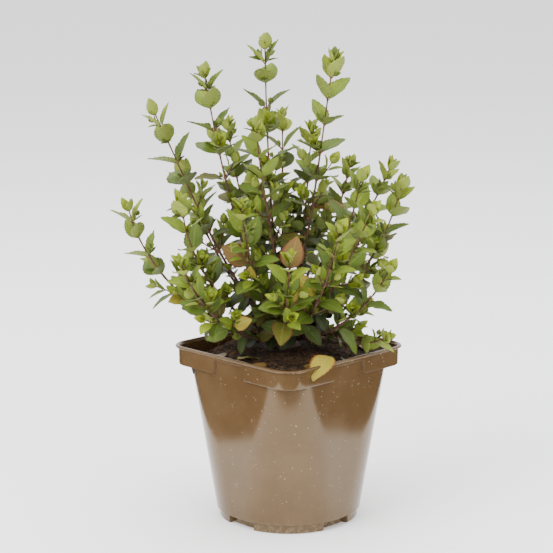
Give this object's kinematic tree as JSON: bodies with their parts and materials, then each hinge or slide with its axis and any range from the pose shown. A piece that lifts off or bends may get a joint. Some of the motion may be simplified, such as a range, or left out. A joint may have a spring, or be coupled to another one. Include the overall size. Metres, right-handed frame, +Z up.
{
  "type": "potted salvia shrub",
  "caption": "Bushy young salvia shrub with upright leafy stems from a woody stock, growing in compost in a square-rimmed nursery pot that tapers to a round foot.",
  "frame": {"origin": "middle of the pot's flat underside, at the level it stands on", "axes": "+Z up through the pot and plant, -Y towards the corner of the pot that is the plant's front, +X to the right seen from the front"},
  "size_m": [0.2884, 0.2675, 0.4783],
  "materials": {
    "pot_plastic": "semi-gloss taupe-brown recycled plastic with fine pale, orange and dark specks",
    "compost": "dark brown fibrous compost",
    "bark": "reddish-brown to dark woody stem",
    "leaf": "soft matt mid-green leaf"
  },
  "bodies": {
    "root": {"pot": "pot_plastic", "soil": "compost", "stock": "bark", "bough_tall_mid": "bark", "bough_tall_right": "bark", "bough_tall_left": "bark", "bough_outer_left": "bark", "bough_inner_left": "bark", "bough_inner_right": "bark", "bough_right_mid": "bark", "bough_right_back": "bark", "bough_right_outer": "bark", "bough_left_front": "bark", "bough_left_low": "bark", "bough_front_left": "bark", "bough_right_front": "bark", "bough_front_right": "bark", "bough_front_mid": "bark", "bough_front_outer": "bark", "bough_front_east": "bark", "bough_back_mid": "bark", "bough_back_left": "bark", "bough_back_right": "bark", "bough_back_west": "bark", "bough_back_far": "bark", "bough_back_east": "bark", "bough_back_low": "bark", "bough_heart_left": "bark", "bough_heart_right": "bark", "bough_creeping_mid": "bark", "bough_creeping_right": "bark", "foliage_tall_mid": "leaf", "foliage_tall_right": "leaf", "foliage_tall_left": "leaf", "foliage_outer_left": "leaf", "foliage_inner_left": "leaf", "foliage_inner_right": "leaf", "foliage_right_mid": "leaf", "foliage_right_back": "leaf", "foliage_right_outer": "leaf", "foliage_left_front": "leaf", "foliage_left_low": "leaf", "foliage_front_left": "leaf", "foliage_right_front": "leaf", "foliage_front_right": "leaf", "foliage_front_mid": "leaf", "foliage_front_outer": "leaf", "foliage_front_east": "leaf", "foliage_back_mid": "leaf", "foliage_back_left": "leaf", "foliage_back_right": "leaf", "foliage_back_west": "leaf", "foliage_back_far": "leaf", "foliage_back_east": "leaf", "foliage_back_low": "leaf", "foliage_heart_left": "leaf", "foliage_heart_right": "leaf", "foliage_creeping_mid": "leaf", "foliage_creeping_right": "leaf"}
  },
  "joints": []
}
